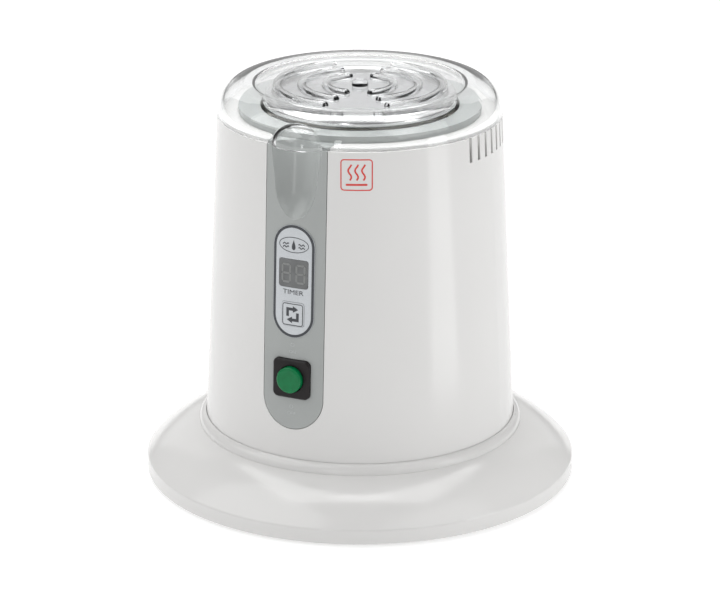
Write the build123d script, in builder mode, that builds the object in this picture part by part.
from build123d import *
import math
import os

# A small electric paraffin wax bath: a clear lid over a spun aluminium tank, in a tapered white drum
# on a wide foot, with a grey collar and front panel in one piece.
# Millimetres. +Z is up, the front panel faces -Y, and the origin is on the table under the axis.

# ---------------------------------------------------------------- driving dimensions

# foot
base_r = 100.0
rim_z0 = 1.0
rim_round = 1.2
crown_r = 51.4  # radius of the convex top of the foot, in section
crown_centre = (60.76, -25.5)  # centre of that arc, as (r, z)
bead_r = 75.3
bead_bulge = (74.6, 26.7)  # a point on the bead's rounded side, as (r, z)
seat_r = 72.2  # inside of the bead, where the drum drops in
seam_z = 28.3
ledge_r = 61.0
ledge_z = 24.0
wall = 2.4

# drum
drum_top_r = 65.05
drum_top_z = 172.6
taper = 0.047886  # radius lost per millimetre of height
lean = math.degrees(math.atan(taper))
step_r = 62.8  # the lid's rim drops over this step
rebate_z = 171.8
flange_z = 173.0
flange_r = 51.0
vent_count = 7
vent_pitch = 5.2
vent_w = 1.8
vent_l = 6.0  # radial reach of the cut, through the wall
vent_z = 160.6

# front panel and collar
panel_w = 30.0
panel_low_z = 57.0  # centre of the panel's round lower end
skin = 1.2  # thickness of the panel's visible layer
panel_back = 2.6
panel_foot = 20.0  # a height under everything on the panel
panel_reach = 15.0  # the shapes that cut the panel reach this far to both sides of its surface
panel_over = 5.0  # and this far over the flange
tongue_w = 24.8  # the panel's inner layer, which fits a narrower slot
gap = 0.15
panel_gap = 0.3  # the visible line around the panel
slack = 0.05  # between a screw and the pilot hole that it sits in
flare_r = 8.0
collar_r = 55.0
collar_hole_r = 45.0
collar_z = 176.0
collar_t = 2.0
throat_lap = 1.0  # the plate in front of the collar reaches this far under it
arm_r = 49.9  # middle of the snap arms under the collar
arm_t = 1.4
arm_w = 8.0
arm_z = 169.4
arm_hook = 1.0
arm_count = 6

# finger scoop: a round-nosed cone about an axis that runs parallel to the panel, just outside it
scoop_out = 4.4
scoop_top_z = 178.0
scoop_top_r = 14.4
scoop_mid_z = 152.0
scoop_mid_r = 11.1
scoop_low_z = 136.6
scoop_wall = 1.5

# lid
lid_z = 171.95
lid_wall = 2.0
lid_top_z = 186.5
lid_disc_r = 53.7
lid_disc_wall = 1.6
lid_well_r = 46.5
lid_well_z = 184.4
lid_well_wall = 1.5
lid_step = 1.2  # the well's outer wall, and the slope of both its sides
rib_h = 2.1  # radius of the ribs' round section, which ends flush with the lid's top
rib_wall = 1.0  # the ribs are hollow from below
rib_radii = [37.7, 26.5, 15.3]
rib_gap_angle = 45.0  # the ribs stop on either side of a plain band across the lid
rib_band_at = -67.0  # direction of that band
lid_boss_r = 3.8
hood_at = 60.5
hood_lift = 0.6  # the hood's axis lies this far over the rim
hood_half = 13.2
hood_r = 9.8
hood_wall = 1.8

# tank
tank_z = 84.0
tank_wall = 1.5
tank_r = 38.8
tank_corner = 8.0
roll_r = 2.6
roll_z = 178.2

# heater and insulation
heater_z = 92.0
heater_h = 40.0
heater_t = 2.0
heater_gap = 4.0
lug_out = 7.0
jacket_r = 41.5
jacket_t = 7.5
jacket_top = 168.0
slot_w = 14.0
slot_margin = 4.0  # the jacket's slots reach this far past the heater
clamp_head = (2.7, 1.9)  # radius and height
clamp_places = [(-44.5, 103.0), (-44.5, 121.0)]  # the clamp screws, as (x, z)

# frame under the tank
frame_z = 70.0
sheet = 1.2
frame_r = 50.0
leg_w = 16.0
leg_tab = 13.0
leg_count = 3
lug_r = 3.2  # the earth lug's ring
lug_l = 10.0
lug_t = 0.8
frame_top = frame_z + sheet
stud_ring = 28.0
stud_count = 3
stud_r = 2.0
stud_l = 22.0
stud_nut = (4.0, 3.2)  # radius over the corners, and height
spacer_r = 5.0
disc_r = 48.0  # insulation under the tank
disc_hole_r = 16.0
strap_t = 0.8
strap = (40.0, 6.0)
thermostat_cap = (11.0, 3.5)  # radius and height
thermostat_r = 8.0
thermostat_pins = (6.3, 0.8, 7.0)
pin_y = 5.0
probe_y = 13.4
probe_r = 2.0
probe_l = 9.0
fuse_gap = 0.6  # from the heater to the thermal fuse
fuse_r = 2.0
fuse_l = 13.0
fuse_lead_r = 0.5
fuse_lead_l = 29.0
throat_r = 14.0

# bottom cover
cover_z = 1.2
cover_t = 2.2
cover_top = cover_z + cover_t
cover_r = 97.2
screw_ring = 86.0
screw_count = 4
foot_pad_r = 7.0
body_screw_ring = 66.6

# fasteners
pilot_r = 1.35  # holes that screws cut their own thread in
clear_r = 1.7
sink_r = 3.1  # countersunk holes, and the heads that sit in them
sink_head_r = 2.9
sink_head_h = 1.4
thread_r = 1.5
nut_r = 3.1
nut_h = 2.3
screw_depth = 9.0  # of the pilot holes in the foot's bosses
body_screw_depth = 13.0
body_screw_head = (2.8, 1.8)  # radius and height
cross_l = 1.1  # cross recess in a screw's head, as parts of the head's radius
cross_w = 0.25
screw_boss_r = 4.0
body_boss_r = 3.6
vent_ring = 72.0  # slots in the bottom cover
bottom_vent_count = 24
bottom_vent = (12.0, 2.4)
peg_r = 2.4  # the rubber feet's pegs
peg_lip_r = 3.2
peg_lip_h = 1.2

# power board
board_w = 68.0
board_d = 56.0
board_z = 12.0
board_t = 1.6
post_x = 30.0
post_y = 24.0
post_r = 3.0
board_screw_r = 1.15
board_screw_l = 7.0
board_screw_head = (2.4, 1.6)  # radius and height
board_top = board_z + board_t
terminal_x = -6.0
terminal_y = 20.0
terminal_h = 11.0
terminal_size = (26.0, 9.0)
terminal_pitch = 5.0
core_at = (-13.0, -6.0)  # transformer
core = (30.0, 12.0, 25.0)
winding = (20.0, 25.0, 17.0)
winding_corner = 3.0
relay_at = (16.0, -4.0)
relay_size = (19.0, 15.0, 15.0)
capacitor_at = (12.0, -20.0)
capacitor_size = (4.5, 12.0)  # radius and height
fuse_holder_at = (18.0, 13.0)
fuse_holder_size = (22.0, 7.0, 7.0)
plug_z = 92.0  # the plug on the control board
plug_at = (22.0, -20.0)  # the plug on the power board
upper_plug = (10.0, 6.0, 5.0)
lower_plug = (8.0, 6.0, 7.0)

# wiring
signal_r = 1.5
signal_turn = 4.0  # radius of its bends
signal_lead = 10.0
signal_bends = [(19.0, -52.0, 78.0), (21.0, -50.0, 58.0), (22.0, -36.0, 38.0)]
mains_r = 1.2
mains_turn = 3.5
inlet_lead = 8.0
inlet_drop = 7.0
heater_knees = [(-38.0, 26.0, 48.0), (-40.0, 10.0, 54.0)]
heater_rise = 17.0
heater_shift = 14.0
heater_pass = 2.0  # the heater's wires turn up this far under the frame's plate
heater_run = 53.0  # distance from the axis at which the heater's wires rise
lug_wire_y = 5.2
lug_wire_z = 98.0

# control panel parts, as heights on the panel
label_z = 111.2
label_w = 20.2
label_h = 52.0
label_t = 0.3
window_z = 114.85
window_w = 14.3
window_h = 12.9
window_corner = 1.2
window_t = 2.2
key_z = 96.1
key_size = 11.0
key_corner = 1.4
key_lip = 0.8  # the key's flange under the panel
key_proud = 0.5
control_z = 108.0
control_w = 25.0
control_h = 56.0
control_out = -9.0  # front face of the control board, measured outward from the panel
control_post = (9.8, 24.0)
control_post_r = 2.2
control_screw_r = 0.85
control_screw_l = 5.0
control_screw_head = (1.9, 1.4)  # radius and height
module_out = -3.1  # front of the display module
module_size = (15.0, 14.0)
key_shoulder = -3.1
key_flange_t = 1.0
key_stem = (1.5, 1.1)  # radius and length
plunger = (1.6, 2.0)
tact_size = 6.0
tact_h = 3.1
tact_floor = 0.9
tact_hole_r = 1.75
chip_size = 9.0
chip_t = 1.2
chip_z = 112.0

# power switch
switch_z = 66.0
bezel = 18.0
bezel_corner = 2.5
bezel_top = 1.4
bezel_low = -0.7
bezel_edge = 0.6
barrel_r = 8.0
barrel_low = -18.0
well_r = 6.35
well_low = -13.0
button_r = 6.0
button_top = 4.2
button_low = -4.0
stem_r = 1.6
snap_r = 2.4
snap_t = 1.0
button_round = 1.0
spring_r = 4.2
spring_wire = 0.45
spring_pitch = 2.1
switch_nut_at = -3.6
switch_nut_r = 10.9
switch_nut_t = 3.0
tab = (0.8, 4.8, 8.0)  # the switch's terminals
tab_x = 5.0

# power inlet at the back
pad_y = 72.2
pad_w = 35.0
pad_h = 28.0
pad_t = 5.8
pad_corner = 3.0
inlet_z = 48.0
inlet_flange = (31.0, 24.0)
inlet_flange_t = 2.5
shroud = (27.0, 20.0)
socket = (24.4, 16.8)
shroud_depth = 19.0
socket_depth = 14.0
blade = (2.0, 4.0)
blade_tail = 26.0
blade_tip = 0.5  # how far the blades stay inside the socket's mouth
socket_cut = 4.5  # the two upper corners of the socket
inlet_round = 0.8
blade_places = [(-7.0, -1.5), (7.0, -1.5), (0.0, 1.5)]

os.makedirs("parts", exist_ok=True)


# ---------------------------------------------------------------- helpers

def drum_r(z):
    """Radius of the drum's outer surface at height z."""
    return drum_top_r + (drum_top_z - z) * taper


def crown_z(r, depth=0.0):
    """Height of the foot's convex top at radius r, or of a surface that lies depth under it."""
    return crown_centre[1] + math.sqrt((crown_r - depth) ** 2 - (r - crown_centre[0]) ** 2)


def front_plane(z, out=0.0):
    """Plane on the drum's front at height z: x to the right, y up the slope, z outward."""
    tilt = math.radians(lean)
    surface = Plane(origin=(0, -drum_r(z), z), x_dir=(1, 0, 0), z_dir=(0, -math.cos(tilt), math.sin(tilt)))
    return surface.offset(out)


def rear_plane(out=0.0):
    """Plane of the inlet's land: y up, z outward to the rear."""
    return Plane(origin=(0, pad_y + out, inlet_z), x_dir=(-1, 0, 0), z_dir=(0, 1, 0))


scoop_plane = front_plane(scoop_low_z, scoop_out)
scoop_axis = Axis(scoop_plane.origin, scoop_plane.y_dir)
hood_axis = Axis((0, -hood_at, lid_z + hood_lift), (1, 0, 0))


def polar_point(angle, radius):
    """Point at that radius from the axis, in that direction in degrees from +X."""
    return (radius * math.cos(math.radians(angle)), radius * math.sin(math.radians(angle)), 0)


def drum_wall(z0, z1, inner, outer):
    """Section of a wall that follows the drum between two distances from its surface."""
    with BuildSketch(Plane.XZ) as section:
        Polygon(
            (drum_r(z0) + inner, z0),
            (drum_r(z0) + outer, z0),
            (drum_r(z1) + outer, z1),
            (drum_r(z1) + inner, z1),
            align=None,
        )
    return section.sketch


def panel_outline(width):
    """Outline of the front panel: straight sides and a round lower end, on a plane behind the panel."""
    height = flange_z + panel_over - panel_low_z
    with BuildSketch(front_plane(panel_low_z, -panel_reach)) as outline:
        Circle(width / 2)
        Rectangle(width, height, align=(Align.CENTER, Align.MIN))
    return outline.sketch


def throat_outline(z, margin):
    """Plan of the grey top plate in front of the collar: the panel's width, flared at the collar."""
    flare_at = math.asin((panel_w / 2 + flare_r) / (collar_r + flare_r)) - margin / collar_r
    reach = 2 * collar_r
    with BuildSketch(Plane.XY.offset(z)) as plan:
        Circle(collar_r - margin)
        with Locations((0, -collar_r)):
            Rectangle(panel_w - 2 * margin, collar_r)
        corners = plan.vertices().filter_by(lambda v: -collar_r < v.Y < -flange_r)
        fillet(corners, radius=flare_r + margin)
        Polygon(
            (0, 0),
            (-reach * math.sin(flare_at), -reach * math.cos(flare_at)),
            (reach * math.sin(flare_at), -reach * math.cos(flare_at)),
            align=None,
            mode=Mode.INTERSECT,
        )
        Circle(collar_r - throat_lap + margin, mode=Mode.SUBTRACT)
    return plan.sketch


def scoop_outline(grow):
    """Half section of the scoop, or of the pocket around it, beside its own axis."""
    up = 1 / math.cos(math.radians(lean))
    y_top = (scoop_top_z - scoop_low_z) * up
    y_mid = (scoop_mid_z - scoop_low_z) * up
    side = (scoop_mid_r - scoop_top_r, y_mid - y_top)
    with BuildSketch(scoop_plane) as section:
        with BuildLine():
            Line((0, -grow), (0, y_top))
            Line((0, y_top), (scoop_top_r + grow, y_top))
            Line((scoop_top_r + grow, y_top), (scoop_mid_r + grow, y_mid))
            TangentArc((scoop_mid_r + grow, y_mid), (0, -grow), tangent=side)
        make_face()
    return section.sketch


def hood_outline(half, radius):
    """Half ellipse for the lid's hood, to be turned about its own axis across the front."""
    with BuildSketch(Plane(origin=hood_axis.position, x_dir=(1, 0, 0), z_dir=(0, 0, 1))) as section:
        Ellipse(half, radius)
        Rectangle(2 * half, radius, align=(Align.CENTER, Align.MIN), mode=Mode.SUBTRACT)
    return section.sketch


def pan_screw(head_r, head_h, shank_r, length):
    """Screw with its head under the current place and its shank above, with a cross recess."""
    Cylinder(head_r, head_h, align=(Align.CENTER, Align.CENTER, Align.MAX))
    Cylinder(shank_r, length, align=(Align.CENTER, Align.CENTER, Align.MIN))
    with Locations((0, 0, -head_h)):
        Box(head_r * cross_l, head_r * cross_w, head_h, mode=Mode.SUBTRACT)
        Box(head_r * cross_w, head_r * cross_l, head_h, mode=Mode.SUBTRACT)


def flat_screw(head_r, head_h, shank_r, length):
    """Countersunk screw that starts at the current place and points up."""
    Cone(head_r, shank_r, head_h, align=(Align.CENTER, Align.CENTER, Align.MIN))
    Cylinder(shank_r, length, align=(Align.CENTER, Align.CENTER, Align.MIN))
    Box(head_r * cross_l, head_r * cross_w, head_h, mode=Mode.SUBTRACT)
    Box(head_r * cross_w, head_r * cross_l, head_h, mode=Mode.SUBTRACT)


def wire(points, radius, bend):
    """Round wire along straight runs with a bend at each corner."""
    with BuildLine() as path:
        FilletPolyline(*points, radius=bend)
    with BuildSketch(Plane(origin=path.line @ 0, z_dir=path.line % 0)) as section:
        Circle(radius)
    sweep(section.sketch, path=path.line)


def save(name, builder):
    """Label a finished piece and write it under its node's name."""
    builder.part.label = name
    export_step(builder.part, f"parts/{name}.step")


# ---------------------------------------------------------------- foot

with BuildPart() as base_shell:
    # screw bosses, cut off at the middle of the crown's thickness
    with BuildSketch(Plane.XY.offset(cover_top)):
        with PolarLocations(screw_ring, screw_count, start_angle=180 / screw_count):
            Circle(screw_boss_r)
    extrude(amount=crown_z(bead_r) - cover_top)
    with BuildSketch(Plane.XZ):
        with BuildLine():
            inner_end = (bead_r, crown_z(bead_r, wall / 2))
            outer_end = (base_r - wall, crown_z(base_r - wall, wall / 2))
            RadiusArc(inner_end, outer_end, crown_r - wall / 2)
            Polyline(outer_end, (base_r - wall, 2 * seam_z), (bead_r, 2 * seam_z), inner_end)
        make_face()
    revolve(mode=Mode.SUBTRACT)
    # the shell: rim, convex crown, bead and the ledge that carries the drum
    with BuildSketch(Plane.XZ):
        with BuildLine():
            ledge_low = ledge_z - wall
            inside_r = crown_r - wall
            root_r = crown_centre[0] + math.sqrt(inside_r ** 2 - (ledge_low - crown_centre[1]) ** 2)
            rim_in = base_r - wall
            Polyline((rim_in, rim_z0), (base_r, rim_z0), (base_r, crown_z(base_r)))
            RadiusArc((base_r, crown_z(base_r)), (bead_r, crown_z(bead_r)), -crown_r)
            ThreePointArc((bead_r, crown_z(bead_r)), bead_bulge, (seat_r, seam_z))
            Polyline(
                (seat_r, seam_z),
                (seat_r, ledge_z),
                (ledge_r, ledge_z),
                (ledge_r, ledge_low),
                (root_r, ledge_low),
            )
            RadiusArc((root_r, ledge_low), (rim_in, crown_z(rim_in, wall)), inside_r)
            Line((rim_in, crown_z(rim_in, wall)), (rim_in, rim_z0))
        make_face()
    revolve()
    round_edges = base_shell.edges().filter_by(GeomType.CIRCLE)
    rim_edges = round_edges.filter_by(lambda edge: abs(edge.radius - base_r) < gap).sort_by(Axis.Z)
    fillet(rim_edges[-1], radius=rim_round)
    fillet(rim_edges[0], radius=rim_round / 2)
    # pilot holes in the bosses and clearance holes in the ledge
    with BuildSketch(Plane.XY.offset(cover_top)):
        with PolarLocations(screw_ring, screw_count, start_angle=180 / screw_count):
            Circle(pilot_r)
    extrude(amount=screw_depth, mode=Mode.SUBTRACT)
    with BuildSketch(Plane.XY.offset(ledge_low)):
        with PolarLocations(body_screw_ring, screw_count, start_angle=180 / screw_count):
            Circle(clear_r)
    extrude(amount=wall, mode=Mode.SUBTRACT)
save("base_shell", base_shell)

with BuildPart() as bottom_cover:
    with BuildSketch(Plane.XY.offset(cover_z)):
        Circle(cover_r)
        with PolarLocations(vent_ring, bottom_vent_count, start_angle=180 / bottom_vent_count):
            SlotOverall(*bottom_vent, mode=Mode.SUBTRACT)
        with PolarLocations(screw_ring, screw_count):
            Circle(peg_r + gap, mode=Mode.SUBTRACT)
    extrude(amount=cover_t)
    # posts for the power board
    with BuildSketch(Plane.XY.offset(cover_top)):
        with GridLocations(2 * post_x, 2 * post_y, 2, 2):
            Circle(post_r)
    extrude(amount=board_z - cover_top)
    with BuildSketch(Plane.XY.offset(board_z)):
        with GridLocations(2 * post_x, 2 * post_y, 2, 2):
            Circle(board_screw_r)
    extrude(amount=-board_screw_l, mode=Mode.SUBTRACT)
    # countersunk holes for the cover's own screws and for the frame's
    with Locations(Plane(origin=(0, 0, cover_z), x_dir=(1, 0, 0), z_dir=(0, 0, -1))):
        with PolarLocations(screw_ring, screw_count, start_angle=180 / screw_count):
            CounterSinkHole(radius=clear_r, counter_sink_radius=sink_r, depth=cover_t)
        with PolarLocations(frame_r - leg_tab / 2, leg_count):
            CounterSinkHole(radius=clear_r, counter_sink_radius=sink_r, depth=cover_t)
save("bottom_cover", bottom_cover)

with BuildPart() as bottom_screws:
    with Locations((0, 0, cover_z)):
        with PolarLocations(screw_ring, screw_count, start_angle=180 / screw_count):
            flat_screw(sink_head_r, sink_head_h, pilot_r - slack, cover_t + screw_depth - gap)
save("bottom_screws", bottom_screws)

with BuildPart() as feet:
    with PolarLocations(screw_ring, screw_count):
        Cylinder(foot_pad_r, cover_z, align=(Align.CENTER, Align.CENTER, Align.MIN))
        Cylinder(peg_r, cover_top + peg_lip_h, align=(Align.CENTER, Align.CENTER, Align.MIN))
        with Locations((0, 0, cover_top)):
            Cylinder(peg_lip_r, peg_lip_h, align=(Align.CENTER, Align.CENTER, Align.MIN))
save("feet", feet)

# ---------------------------------------------------------------- drum

with BuildPart() as panel_recess:
    # the shallow recess for the panel's visible layer
    extrude(panel_outline(panel_w), amount=2 * panel_reach)
    revolve(drum_wall(panel_foot, flange_z + panel_over, -skin - gap, panel_reach), mode=Mode.INTERSECT)

with BuildPart() as body_shell:
    flange_low = flange_z - wall
    with BuildSketch(Plane.XZ):
        Polygon(
            (drum_r(ledge_z), ledge_z),
            (drum_r(rebate_z), rebate_z),
            (step_r, rebate_z),
            (step_r, flange_z),
            (flange_r, flange_z),
            (flange_r, flange_low),
            (drum_r(flange_low) - wall, flange_low),
            (drum_r(ledge_z) - wall, ledge_z),
            align=None,
        )
    revolve()
    # bosses that the screws from the foot's ledge go into
    with BuildSketch(Plane.XY.offset(ledge_z)):
        with PolarLocations(body_screw_ring, screw_count, start_angle=180 / screw_count):
            Circle(body_boss_r)
    extrude(amount=body_screw_depth + wall)
    with BuildSketch(Plane.XY.offset(ledge_z)):
        with PolarLocations(body_screw_ring, screw_count, start_angle=180 / screw_count):
            Circle(pilot_r)
    extrude(amount=body_screw_depth, mode=Mode.SUBTRACT)
    # flat land and cut-out for the power inlet
    with BuildSketch(rear_plane()):
        RectangleRounded(pad_w, pad_h, pad_corner)
    extrude(amount=-pad_t)
    with BuildSketch(rear_plane()):
        Rectangle(shroud[0] + 2 * gap, shroud[1] + 2 * gap)
    extrude(amount=-2 * pad_t, mode=Mode.SUBTRACT)
    # slot for the front panel: a shallow recess, and a narrower way through
    add(panel_recess.part, mode=Mode.SUBTRACT)
    extrude(panel_outline(tongue_w + 2 * gap), amount=2 * panel_reach, mode=Mode.SUBTRACT)
    extrude(throat_outline(flange_low, 0), amount=wall, mode=Mode.SUBTRACT)
    revolve(scoop_outline(scoop_wall + gap), axis=scoop_axis, mode=Mode.SUBTRACT)
    # vents on both sides, open at the top edge
    spread = vent_pitch * (vent_count - 1)
    with BuildSketch(Plane.XY.offset(vent_z)):
        for side in (0, 180):
            start = side - spread / 2
            with PolarLocations(step_r + vent_l / 2 + gap, vent_count, start, spread, endpoint=True):
                Rectangle(vent_l, vent_w)
    extrude(amount=rebate_z - vent_z, mode=Mode.SUBTRACT)
save("body_shell", body_shell)

with BuildPart() as panel_tongue:
    # the panel's inner layer, which fits the narrower slot
    extrude(panel_outline(tongue_w), amount=2 * panel_reach)
    revolve(drum_wall(panel_foot, rebate_z, -panel_back, -skin), mode=Mode.INTERSECT)

with BuildPart() as scoop_pocket:
    # wall around the finger scoop, kept inside the drum and under the flange's level
    revolve(scoop_outline(scoop_wall), axis=scoop_axis)
    revolve(drum_wall(panel_foot, rebate_z, -2 * panel_reach, 0), mode=Mode.INTERSECT)

with BuildPart() as fascia:
    extrude(panel_outline(panel_w - 2 * panel_gap), amount=2 * panel_reach)
    revolve(drum_wall(panel_foot, rebate_z, -skin, 0), mode=Mode.INTERSECT)
    add(panel_tongue.part)
    # top plate in front of the collar, with the same step as the drum's flange
    plate_low = flange_z - wall
    extrude(throat_outline(plate_low, panel_gap), amount=wall)
    with BuildSketch(Plane.XZ):
        Polygon(
            (drum_r(plate_low), plate_low),
            (drum_r(rebate_z), rebate_z),
            (step_r, rebate_z),
            (step_r, flange_z),
            (base_r, flange_z),
            (base_r, plate_low),
            align=None,
        )
    revolve(mode=Mode.SUBTRACT)
    add(scoop_pocket.part)
    # collar: flat ring with an outer skirt that stands on the drum's flange
    with BuildSketch(Plane.XZ):
        Polygon(
            (collar_hole_r, collar_z - collar_t),
            (collar_hole_r, collar_z),
            (collar_r, collar_z),
            (collar_r, flange_z),
            (collar_r - collar_t, flange_z),
            (collar_r - collar_t, collar_z - collar_t),
            align=None,
        )
    revolve()
    # snap arms that hook under the flange
    with BuildSketch(Plane.XY.offset(arm_z)):
        with PolarLocations(arm_r, arm_count):
            Rectangle(arm_t, arm_w)
    extrude(amount=collar_z - collar_t / 2 - arm_z)
    with BuildSketch(Plane.XY.offset(arm_z)):
        with PolarLocations(arm_r + arm_t, arm_count):
            Rectangle(arm_t, arm_w)
    extrude(amount=arm_hook)
    # posts for the control board
    with BuildSketch(front_plane(control_z, control_out)):
        with GridLocations(2 * control_post[0], 2 * control_post[1], 2, 2):
            Circle(control_post_r)
    extrude(amount=-control_out - panel_back + 2 * gap)
    with BuildSketch(front_plane(control_z, control_out)):
        with GridLocations(2 * control_post[0], 2 * control_post[1], 2, 2):
            Circle(control_screw_r)
    extrude(amount=control_screw_l, mode=Mode.SUBTRACT)
    # the scoop itself
    revolve(scoop_outline(0), axis=scoop_axis, mode=Mode.SUBTRACT)
    # openings for the display window, the key and the power switch
    with BuildSketch(front_plane(window_z)):
        RectangleRounded(window_w + 2 * gap, window_h + 2 * gap, window_corner + gap)
    extrude(amount=2 * panel_back, both=True, mode=Mode.SUBTRACT)
    with BuildSketch(front_plane(key_z)):
        RectangleRounded(key_size + 2 * gap, key_size + 2 * gap, key_corner + gap)
    extrude(amount=2 * panel_back, both=True, mode=Mode.SUBTRACT)
    with BuildSketch(front_plane(switch_z)):
        Circle(barrel_r + gap)
    extrude(amount=2 * panel_back, both=True, mode=Mode.SUBTRACT)
    with BuildSketch(front_plane(switch_z, bezel_low)):
        RectangleRounded(bezel + 2 * gap, bezel + 2 * gap, bezel_corner + gap)
    extrude(amount=panel_back, mode=Mode.SUBTRACT)
save("fascia", fascia)

# ---------------------------------------------------------------- lid

with BuildPart() as lid:
    inner_r = drum_top_r - lid_wall
    disc_under_z = lid_top_z - lid_disc_wall
    well_under_z = lid_well_z - lid_well_wall
    shoulder = (drum_top_r - lid_disc_r, lid_top_z - lid_z)
    shoulder_in = (drum_top_r - lid_disc_r - lid_wall + lid_step, disc_under_z - lid_z)
    # outer shape, then the hood over the finger scoop
    with BuildSketch(Plane.XZ):
        with BuildLine():
            Polyline((0, lid_top_z), (0, lid_z), (drum_top_r, lid_z))
            EllipticalCenterArc((lid_disc_r, lid_z), *shoulder, arc_size=90)
            Line((lid_disc_r, lid_top_z), (0, lid_top_z))
        make_face()
    revolve()
    revolve(hood_outline(hood_half, hood_r), axis=hood_axis)
    # the hollow inside, which is lower under the well, and the hollow of the hood
    with BuildSketch(Plane.XZ):
        with BuildLine():
            Polyline((0, well_under_z), (0, lid_z), (inner_r, lid_z))
            EllipticalCenterArc((inner_r - shoulder_in[0], lid_z), *shoulder_in, arc_size=90)
            Polyline(
                (inner_r - shoulder_in[0], disc_under_z),
                (lid_well_r + 2 * lid_step, disc_under_z),
                (lid_well_r + lid_step, well_under_z),
                (0, well_under_z),
            )
        make_face()
    revolve(mode=Mode.SUBTRACT)
    revolve(hood_outline(hood_half - hood_wall, hood_r - hood_wall), axis=hood_axis, mode=Mode.SUBTRACT)
    with BuildSketch(Plane.XY.offset(lid_z)):
        Circle(base_r)
    extrude(amount=-2 * hood_r, mode=Mode.SUBTRACT)
    # the well in the top
    with BuildSketch(Plane.XZ):
        Polygon(
            (0, lid_well_z),
            (lid_well_r, lid_well_z),
            (lid_well_r + lid_step / 2, lid_top_z),
            (0, lid_top_z),
            align=None,
        )
    revolve(mode=Mode.SUBTRACT)
    # two sets of concentric ribs in the well, half round in section and at their ends
    for turn in (0, 180):
        first = rib_band_at + rib_gap_angle / 2 + turn
        last = first + 180 - rib_gap_angle
        for rib_r in rib_radii:
            across = Plane(origin=(0, 0, 0), x_dir=polar_point(first, 1), z_dir=polar_point(first - 90, 1))
            ends = [Location((0, 0, lid_well_z)) * Location(polar_point(end, rib_r)) for end in (first, last)]
            with BuildSketch(across):
                with Locations((rib_r, lid_well_z)):
                    Circle(rib_h)
                    Rectangle(2 * rib_h, rib_h, align=(Align.CENTER, Align.MAX), mode=Mode.SUBTRACT)
            revolve(revolution_arc=180 - rib_gap_angle)
            with Locations(*ends):
                Sphere(rib_h, arc_size1=0, align=(Align.CENTER, Align.CENTER, Align.MIN))
            # the hollow under the rib
            groove = rib_h - rib_wall
            with BuildSketch(across):
                with Locations((rib_r, lid_well_z)):
                    Circle(groove)
                    Rectangle(2 * groove, lid_well_wall, align=(Align.CENTER, Align.MAX))
            revolve(revolution_arc=180 - rib_gap_angle, mode=Mode.SUBTRACT)
    with BuildSketch(Plane.XY.offset(lid_well_z)):
        Circle(lid_boss_r)
    extrude(amount=lid_top_z - lid_well_z)
save("lid", lid)

# ---------------------------------------------------------------- tank and heater

with BuildPart() as wax_tank:
    roll_at = (tank_r - tank_wall / 2 + roll_r, roll_z)
    with BuildSketch(Plane.XZ):
        # rolled lip, open underneath next to the wall
        with Locations(roll_at):
            Circle(roll_r + tank_wall / 2)
            Circle(roll_r - tank_wall / 2, mode=Mode.SUBTRACT)
            Rectangle(2 * roll_r, 2 * roll_r, align=Align.MAX, mode=Mode.SUBTRACT)
    revolve()
    tank_in = tank_r - tank_wall
    floor_r = tank_r - tank_corner
    corner_z = tank_z + tank_corner
    floor_z = tank_z + tank_wall
    with BuildSketch(Plane.XZ):
        with BuildLine():
            Line((0, tank_z), (floor_r, tank_z))
            RadiusArc((floor_r, tank_z), (tank_r, corner_z), -tank_corner)
            Polyline((tank_r, corner_z), (tank_r, roll_z), (tank_in, roll_z), (tank_in, corner_z))
            RadiusArc((tank_in, corner_z), (floor_r, floor_z), tank_corner - tank_wall)
            Polyline((floor_r, floor_z), (0, floor_z), (0, tank_z))
        make_face()
    revolve()
save("wax_tank", wax_tank)

with BuildPart() as band_heater:
    band_in = tank_r + slack
    band_out = band_in + heater_t
    with BuildSketch(Plane.XY.offset(heater_z)):
        Circle(band_out)
        Circle(band_in, mode=Mode.SUBTRACT)
        with Locations((-band_out, 0)):
            Rectangle(2 * heater_gap, heater_gap, mode=Mode.SUBTRACT)
        for side in (-1, 1):
            with Locations((-band_out + heater_t / 2, side * (heater_gap + sheet) / 2)):
                Rectangle(lug_out, sheet, align=(Align.MAX, Align.CENTER))
    extrude(amount=heater_h)
    with BuildSketch(Plane.XZ):
        with Locations(*clamp_places):
            Circle(thread_r + gap)
    extrude(amount=heater_gap + 2 * sheet, both=True, mode=Mode.SUBTRACT)
save("band_heater", band_heater)

with BuildPart() as heater_screws:
    lug_y = heater_gap / 2 + sheet
    with BuildSketch(Plane.XZ.offset(lug_y)):
        with Locations(*clamp_places):
            Circle(clamp_head[0])
    extrude(amount=clamp_head[1])
    with BuildSketch(Plane.XZ.offset(lug_y)):
        with Locations(*clamp_places):
            Circle(thread_r)
    extrude(amount=-2 * lug_y - nut_h - sheet)
save("heater_screws", heater_screws)

with BuildPart() as heater_nuts:
    with BuildSketch(Plane.XZ.offset(-lug_y)):
        with Locations(*clamp_places):
            RegularPolygon(nut_r, 6)
            Circle(thread_r, mode=Mode.SUBTRACT)
    extrude(amount=-nut_h)
save("heater_nuts", heater_nuts)

with BuildPart() as insulation_jacket:
    with BuildSketch(Plane.XY.offset(tank_z)):
        Circle(jacket_r + jacket_t)
        Circle(jacket_r, mode=Mode.SUBTRACT)
    extrude(amount=jacket_top - tank_z)
    # clearance for the heater's lugs on one side and the thermal fuse on the other
    with BuildSketch(Plane.XY.offset(heater_z - slot_margin)):
        Rectangle(3 * jacket_r, slot_w)
    extrude(amount=heater_h + 2 * slot_margin, mode=Mode.SUBTRACT)
save("insulation_jacket", insulation_jacket)

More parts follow.
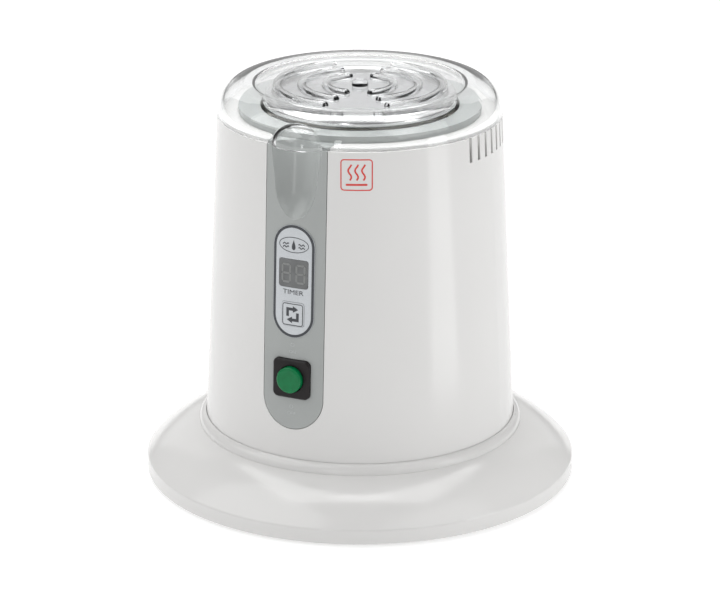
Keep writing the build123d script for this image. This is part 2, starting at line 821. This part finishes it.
with BuildPart() as insulation_disc:
    with BuildSketch(Plane.XY.offset(frame_top + strap_t + gap)):
        Circle(disc_r)
        Circle(disc_hole_r, mode=Mode.SUBTRACT)
        with PolarLocations(stud_ring, stud_count, start_angle=180 / stud_count):
            Circle(spacer_r + 2 * gap, mode=Mode.SUBTRACT)
    extrude(amount=tank_z - frame_top - strap_t - 2 * gap)
save("insulation_disc", insulation_disc)

with BuildPart() as tank_spacers:
    with BuildSketch(Plane.XY.offset(frame_top)):
        with PolarLocations(stud_ring, stud_count, start_angle=180 / stud_count):
            Circle(spacer_r)
            Circle(stud_r + slack, mode=Mode.SUBTRACT)
    extrude(amount=tank_z - frame_top)
save("tank_spacers", tank_spacers)

with BuildPart() as tank_studs:
    with BuildSketch(Plane.XY.offset(tank_z)):
        with PolarLocations(stud_ring, stud_count, start_angle=180 / stud_count):
            Circle(stud_r)
    extrude(amount=-stud_l)
save("tank_studs", tank_studs)

with BuildPart() as tank_nuts:
    with BuildSketch(Plane.XY.offset(frame_z)):
        with PolarLocations(stud_ring, stud_count, start_angle=180 / stud_count):
            RegularPolygon(stud_nut[0], 6)
            Circle(stud_r, mode=Mode.SUBTRACT)
    extrude(amount=-stud_nut[1])
save("tank_nuts", tank_nuts)

with BuildPart() as thermostat:
    with BuildSketch(Plane.XY.offset(tank_z)):
        Circle(thermostat_cap[0])
    extrude(amount=-thermostat_cap[1])
    with BuildSketch(Plane.XY.offset(frame_top + strap_t)):
        Circle(thermostat_r)
    extrude(amount=tank_z - thermostat_cap[1] - frame_top - strap_t)
    with BuildSketch(Plane.XY.offset(frame_top + strap_t)):
        with Locations((0, pin_y), (0, -pin_y)):
            Rectangle(thermostat_pins[0], thermostat_pins[1])
    extrude(amount=-thermostat_pins[2])
save("thermostat", thermostat)

with BuildPart() as thermostat_strap:
    with BuildSketch(Plane.XY.offset(frame_top)):
        SlotOverall(*strap)
    extrude(amount=strap_t)
save("thermostat_strap", thermostat_strap)

with BuildPart() as temperature_probe:
    with BuildSketch(Plane.XY.offset(tank_z)):
        with Locations((0, probe_y)):
            Circle(probe_r)
    extrude(amount=-probe_l)
save("temperature_probe", temperature_probe)

with BuildPart() as thermal_fuse:
    fuse_at = (band_out + fuse_gap + fuse_r, 0)
    heater_middle = heater_z + heater_h / 2
    with BuildSketch(Plane.XY.offset(heater_middle - fuse_l / 2)):
        with Locations(fuse_at):
            Circle(fuse_r)
    extrude(amount=fuse_l)
    with BuildSketch(Plane.XY.offset(heater_middle - fuse_lead_l / 2)):
        with Locations(fuse_at):
            Circle(fuse_lead_r)
    extrude(amount=fuse_lead_l)
save("thermal_fuse", thermal_fuse)

# ---------------------------------------------------------------- frame

with BuildPart() as support_frame:
    with BuildSketch(Plane.XY.offset(frame_z)):
        Circle(frame_r)
        Circle(throat_r, mode=Mode.SUBTRACT)
        with PolarLocations(stud_ring, stud_count, start_angle=180 / stud_count):
            Circle(stud_r + gap, mode=Mode.SUBTRACT)
    extrude(amount=sheet)
    with BuildSketch(Plane.XY.offset(cover_top)):
        with PolarLocations(frame_r - sheet / 2, leg_count):
            Rectangle(sheet, leg_w)
    extrude(amount=frame_z + sheet - cover_top)
    with BuildSketch(Plane.XY.offset(cover_top)):
        with PolarLocations(frame_r - leg_tab / 2, leg_count):
            Rectangle(leg_tab, leg_w)
            Circle(clear_r, mode=Mode.SUBTRACT)
    extrude(amount=sheet)
save("support_frame", support_frame)

with BuildPart() as frame_screws:
    with Locations((0, 0, cover_z)):
        with PolarLocations(frame_r - leg_tab / 2, leg_count):
            flat_screw(sink_head_r, sink_head_h, thread_r, cover_t + sheet + 2 * nut_h)
save("frame_screws", frame_screws)

with BuildPart() as frame_nuts:
    with BuildSketch(Plane.XY.offset(cover_top + sheet)):
        with PolarLocations(frame_r - leg_tab / 2, leg_count):
            RegularPolygon(nut_r, 6)
            Circle(thread_r, mode=Mode.SUBTRACT)
    extrude(amount=nut_h)
save("frame_nuts", frame_nuts)

with BuildPart() as earth_lug:
    with BuildSketch(Plane.XY.offset(cover_top + sheet + nut_h)):
        with Locations((frame_r - leg_tab / 2, 0)):
            Circle(lug_r)
            with Locations((0, lug_l / 2)):
                Rectangle(lug_r, lug_l)
            Circle(thread_r + slack, mode=Mode.SUBTRACT)
    extrude(amount=lug_t)
save("earth_lug", earth_lug)

with BuildPart() as body_screws:
    with Locations((0, 0, ledge_z - wall)):
        with PolarLocations(body_screw_ring, screw_count, start_angle=180 / screw_count):
            pan_screw(*body_screw_head, pilot_r - slack, wall + body_screw_depth - slack)
save("body_screws", body_screws)

# ---------------------------------------------------------------- control panel

with BuildPart() as overlay_label:
    with BuildSketch(front_plane(label_z)):
        SlotOverall(label_h, label_w, rotation=90)
    extrude(amount=panel_back, both=True)
    revolve(drum_wall(panel_foot, rebate_z, 0, label_t), mode=Mode.INTERSECT)
    with BuildSketch(front_plane(window_z)):
        RectangleRounded(window_w + 2 * gap, window_h + 2 * gap, window_corner + gap)
    extrude(amount=panel_back, both=True, mode=Mode.SUBTRACT)
    with BuildSketch(front_plane(key_z)):
        RectangleRounded(key_size + 2 * gap, key_size + 2 * gap, key_corner + gap)
    extrude(amount=panel_back, both=True, mode=Mode.SUBTRACT)
save("overlay_label", overlay_label)

with BuildPart() as display_window:
    with BuildSketch(front_plane(window_z, -window_t)):
        RectangleRounded(window_w, window_h, window_corner)
    extrude(amount=2 * window_t)
    revolve(drum_wall(panel_foot, rebate_z, -panel_reach, label_t), mode=Mode.INTERSECT)
save("display_window", display_window)

with BuildPart() as display_module:
    with BuildSketch(front_plane(window_z, control_out)):
        Rectangle(*module_size)
    extrude(amount=-control_out + module_out)
save("display_module", display_module)

with BuildPart() as control_board:
    with BuildSketch(front_plane(control_z, control_out)):
        Rectangle(control_w, control_h)
        with GridLocations(2 * control_post[0], 2 * control_post[1], 2, 2):
            Circle(control_screw_r + gap, mode=Mode.SUBTRACT)
    extrude(amount=-board_t)
save("control_board", control_board)

with BuildPart() as control_board_screws:
    with Locations(front_plane(control_z, control_out - board_t)):
        with GridLocations(2 * control_post[0], 2 * control_post[1], 2, 2):
            pan_screw(*control_screw_head, control_screw_r - slack, board_t + control_screw_l - gap)
save("control_board_screws", control_board_screws)

with BuildPart() as microcontroller:
    with BuildSketch(front_plane(chip_z, control_out - board_t)):
        Rectangle(chip_size, chip_size)
    extrude(amount=-chip_t)
save("microcontroller", microcontroller)

with BuildPart() as timer_key:
    with BuildSketch(front_plane(key_z, key_shoulder)):
        RectangleRounded(key_size, key_size, key_corner)
    extrude(amount=-2 * key_shoulder)
    revolve(drum_wall(panel_foot, rebate_z, -panel_reach, key_proud), mode=Mode.INTERSECT)
    with BuildSketch(front_plane(key_z, key_shoulder)):
        RectangleRounded(key_size + 2 * key_lip, key_size + 2 * key_lip, key_corner)
    extrude(amount=-key_flange_t)
    with BuildSketch(front_plane(key_z, key_shoulder - key_flange_t)):
        Circle(key_stem[0])
    extrude(amount=-key_stem[1])
save("timer_key", timer_key)

with BuildPart() as tact_plunger:
    with BuildSketch(front_plane(key_z, key_shoulder - key_flange_t - key_stem[1])):
        Circle(plunger[0])
    extrude(amount=-plunger[1])
save("tact_plunger", tact_plunger)

with BuildPart() as tact_switch:
    with BuildSketch(front_plane(key_z, control_out)):
        Rectangle(tact_size, tact_size)
    extrude(amount=tact_h)
    with BuildSketch(front_plane(key_z, control_out + tact_floor)):
        Circle(tact_hole_r)
    extrude(amount=tact_h, mode=Mode.SUBTRACT)
save("tact_switch", tact_switch)

# ---------------------------------------------------------------- power switch

with BuildPart() as switch_housing:
    with BuildSketch(front_plane(switch_z, bezel_low)):
        RectangleRounded(bezel, bezel, bezel_corner)
    extrude(amount=bezel_top - bezel_low)
    chamfer(switch_housing.faces().sort_by(Axis.Y)[0].edges(), length=bezel_edge)
    with BuildSketch(front_plane(switch_z, bezel_low)):
        Circle(barrel_r)
    extrude(amount=barrel_low - bezel_low)
    with BuildSketch(front_plane(switch_z, well_low)):
        Circle(well_r)
    extrude(amount=bezel_top - well_low, mode=Mode.SUBTRACT)
    with BuildSketch(front_plane(switch_z, barrel_low)):
        Circle(stem_r + gap)
    extrude(amount=well_low - barrel_low, mode=Mode.SUBTRACT)
save("switch_housing", switch_housing)

with BuildPart() as switch_button:
    with BuildSketch(front_plane(switch_z, button_low)):
        Circle(button_r)
    extrude(amount=button_top - button_low)
    fillet(switch_button.edges().sort_by(Axis.Y)[0], radius=button_round)
    with BuildSketch(front_plane(switch_z, button_low)):
        Circle(stem_r)
    extrude(amount=barrel_low - 2 * gap - button_low)
    # snap head that keeps the button in
    with BuildSketch(front_plane(switch_z, barrel_low - 2 * gap)):
        Circle(snap_r)
    extrude(amount=-snap_t)
save("switch_button", switch_button)

with BuildPart() as switch_spring:
    coil_base = front_plane(switch_z, well_low + spring_wire + slack)
    with BuildLine():
        coil = Helix(
            pitch=spring_pitch,
            height=button_low - well_low - 2 * (spring_wire + slack),
            radius=spring_r,
            center=coil_base.origin,
            direction=coil_base.z_dir,
        )
    with BuildSketch(Plane(origin=coil @ 0, z_dir=coil % 0)):
        Circle(spring_wire)
    sweep(path=coil)
save("switch_spring", switch_spring)

with BuildPart() as switch_nut:
    with BuildSketch(front_plane(switch_z, switch_nut_at)):
        RegularPolygon(switch_nut_r, 6)
        Circle(barrel_r + slack, mode=Mode.SUBTRACT)
    extrude(amount=-switch_nut_t)
save("switch_nut", switch_nut)

with BuildPart() as switch_terminals:
    with BuildSketch(front_plane(switch_z, barrel_low)):
        with Locations((-tab_x, 0), (tab_x, 0)):
            Rectangle(tab[0], tab[1])
    extrude(amount=-tab[2])
save("switch_terminals", switch_terminals)

# ---------------------------------------------------------------- power inlet

with BuildPart() as power_inlet:
    with BuildSketch(rear_plane()):
        RectangleRounded(inlet_flange[0], inlet_flange[1], pad_corner)
    extrude(amount=inlet_flange_t)
    fillet(power_inlet.faces().sort_by(Axis.Y)[-1].edges(), radius=inlet_round)
    with BuildSketch(rear_plane()) as shroud_section:
        Rectangle(*shroud)
        chamfer(shroud_section.vertices().group_by(Axis.Y)[-1], length=socket_cut)
    extrude(amount=-shroud_depth)
    with BuildSketch(rear_plane(inlet_flange_t)) as socket_section:
        Rectangle(*socket)
        chamfer(socket_section.vertices().group_by(Axis.Y)[-1], length=socket_cut)
    extrude(amount=-socket_depth - inlet_flange_t, mode=Mode.SUBTRACT)
    with BuildSketch(rear_plane(-socket_depth)):
        with Locations(*blade_places):
            Rectangle(blade[0] + gap, blade[1] + gap)
    extrude(amount=socket_depth - shroud_depth, mode=Mode.SUBTRACT)
save("power_inlet", power_inlet)

with BuildPart() as inlet_pins:
    with BuildSketch(rear_plane(-blade_tail)):
        with Locations(*blade_places):
            Rectangle(*blade)
    extrude(amount=blade_tail - blade_tip)
save("inlet_pins", inlet_pins)

# ---------------------------------------------------------------- power board

with BuildPart() as power_board:
    with BuildSketch(Plane.XY.offset(board_z)):
        Rectangle(board_w, board_d)
        with GridLocations(2 * post_x, 2 * post_y, 2, 2):
            Circle(board_screw_r + 2 * gap, mode=Mode.SUBTRACT)
    extrude(amount=board_t)
save("power_board", power_board)

with BuildPart() as power_board_screws:
    with Locations(Plane(origin=(0, 0, board_top), x_dir=(1, 0, 0), z_dir=(0, 0, -1))):
        with GridLocations(2 * post_x, 2 * post_y, 2, 2):
            pan_screw(*board_screw_head, board_screw_r - slack, board_screw_l)
save("power_board_screws", power_board_screws)

with BuildPart() as transformer:
    with BuildSketch(Plane.XY.offset(board_top)):
        with Locations(core_at):
            Rectangle(core[0], core[1])
    extrude(amount=core[2])
    with BuildSketch(Plane.XY.offset(board_top + (core[2] - winding[2]) / 2)):
        with Locations(core_at):
            RectangleRounded(winding[0], winding[1], winding_corner)
    extrude(amount=winding[2])
save("transformer", transformer)

with BuildPart() as relay:
    with BuildSketch(Plane.XY.offset(board_top)):
        with Locations(relay_at):
            Rectangle(relay_size[0], relay_size[1])
    extrude(amount=relay_size[2])
save("relay", relay)

with BuildPart() as capacitor:
    with BuildSketch(Plane.XY.offset(board_top)):
        with Locations(capacitor_at):
            Circle(capacitor_size[0])
    extrude(amount=capacitor_size[1])
save("capacitor", capacitor)

with BuildPart() as terminal_block:
    with BuildSketch(Plane.XY.offset(board_top)):
        with Locations((terminal_x, terminal_y)):
            Rectangle(*terminal_size)
    extrude(amount=terminal_h)
save("terminal_block", terminal_block)

with BuildPart() as fuse_holder:
    with BuildSketch(Plane.XY.offset(board_top)):
        with Locations(fuse_holder_at):
            Rectangle(fuse_holder_size[0], fuse_holder_size[1])
    extrude(amount=fuse_holder_size[2])
save("fuse_holder", fuse_holder)

# ---------------------------------------------------------------- wiring

with BuildPart() as signal_plugs:
    with BuildSketch(front_plane(plug_z, control_out - board_t)):
        Rectangle(upper_plug[0], upper_plug[1])
    extrude(amount=-upper_plug[2])
    with BuildSketch(Plane.XY.offset(board_top)):
        with Locations(plug_at):
            Rectangle(lower_plug[0], lower_plug[1])
    extrude(amount=lower_plug[2])
save("signal_plugs", signal_plugs)

with BuildPart() as signal_cable:
    # out of the upper plug's side, down past the power switch, and into the lower plug from above
    plug_side = upper_plug[0] / 2
    plug_y = -drum_r(plug_z) - control_out + board_t + upper_plug[2] / 2
    wire(
        [
            (plug_side, plug_y, plug_z),
            (plug_side + signal_lead, plug_y, plug_z),
            *signal_bends,
            (*plug_at, signal_bends[-1][2] - signal_turn),
            (*plug_at, board_top + lower_plug[2]),
        ],
        signal_r,
        signal_turn,
    )
save("signal_cable", signal_cable)

with BuildPart() as inlet_wires:
    # from the blades' tails forward and down to three places of the terminal block
    terminal_top = board_top + terminal_h
    tail_y = pad_y - blade_tail
    for (blade_x, blade_y), slot in zip(blade_places, (2, 0, 1)):
        start_x = -blade_x
        start_z = inlet_z + blade_y
        end_x = terminal_x + slot * terminal_pitch
        wire(
            [
                (start_x, tail_y, start_z),
                (start_x, tail_y - inlet_lead, start_z),
                (end_x, terminal_y + inlet_lead, start_z - inlet_drop),
                (end_x, terminal_y, start_z - 2 * inlet_drop),
                (end_x, terminal_y, terminal_top),
            ],
            mains_r,
            mains_turn,
        )
save("inlet_wires", inlet_wires)

with BuildPart() as heater_wires:
    # from the terminal block out to the left, and up to the heater's two lugs
    lug_x = -band_out - fuse_gap
    for side, slot, knee in zip((1, -1), (-2, -1), heater_knees):
        lug_side = side * lug_wire_y
        start_x = terminal_x + slot * terminal_pitch
        wire(
            [
                (start_x, terminal_y, terminal_top),
                (start_x, terminal_y, knee[2] - heater_rise),
                knee,
                (-heater_run, knee[1] - heater_shift, frame_z - heater_pass),
                (-heater_run, lug_side, tank_z),
                (-heater_run, lug_side, lug_wire_z),
                (lug_x, lug_side, lug_wire_z),
            ],
            mains_r,
            mains_turn,
        )
save("heater_wires", heater_wires)
